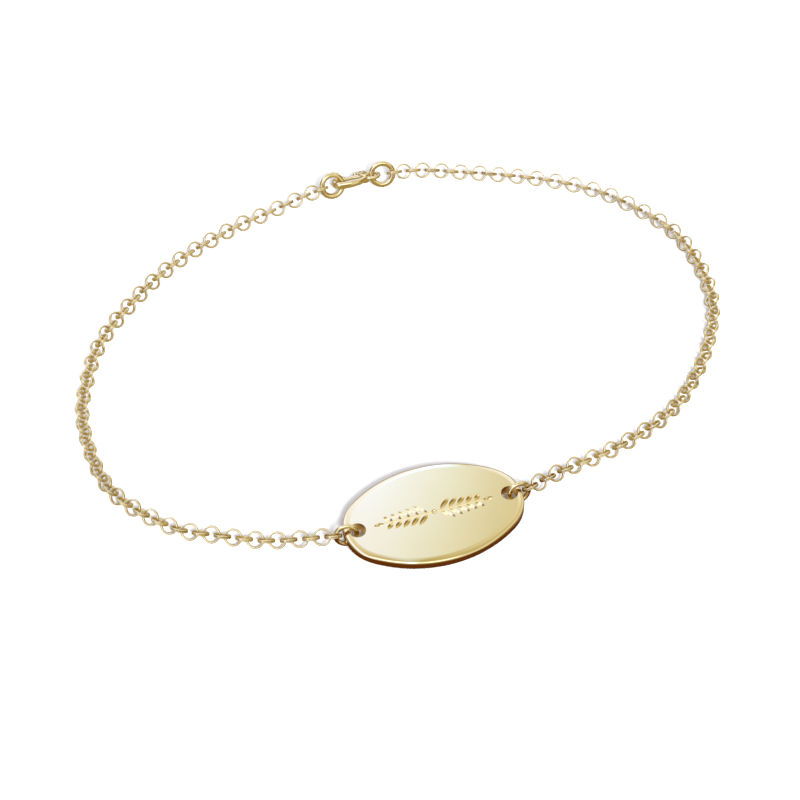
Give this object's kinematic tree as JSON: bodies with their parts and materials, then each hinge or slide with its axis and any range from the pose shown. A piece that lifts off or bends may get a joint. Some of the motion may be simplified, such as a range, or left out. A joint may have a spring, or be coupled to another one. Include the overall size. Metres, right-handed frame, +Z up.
{
  "type": "nameplate bracelet",
  "caption": "Fine round-link chain bracelet lying closed, with an oval nameplate engraved with leaves and a lobster clasp.",
  "frame": {"origin": "middle of the loop's bounding box, on the table that it lies on", "axes": "+X left to right past the nameplate, +Y from the nameplate to the clasp, +Z up from the table"},
  "size_m": [0.0689, 0.0565, 0.0028],
  "materials": {
    "plate_gold": "polished",
    "chain_gold": "polished",
    "ring_gold": "polished",
    "clasp_gold": "polished",
    "lever_gold": "satin"
  },
  "bodies": {
    "bracelet": {"nameplate": "plate_gold", "plate_ring_left": "ring_gold", "plate_ring_right": "ring_gold", "chain_left": "chain_gold", "chain_right": "chain_gold", "end_ring": "ring_gold", "clasp_ring": "ring_gold", "clasp_body": "clasp_gold", "clasp_rivet": "clasp_gold"},
    "lever": {"clasp_lever": "lever_gold"}
  },
  "joints": [
    {"name": "clasp_lever_hinge", "type": "hinge", "parent": "bracelet", "child": "lever", "pos_m": [-0.00482, 0.02608, 0.0012], "axis": [-0.122, 0.3542, 0.9272], "range_deg": [0, 20], "stiffness_Nm_per_rad": 0.0002}
  ]
}
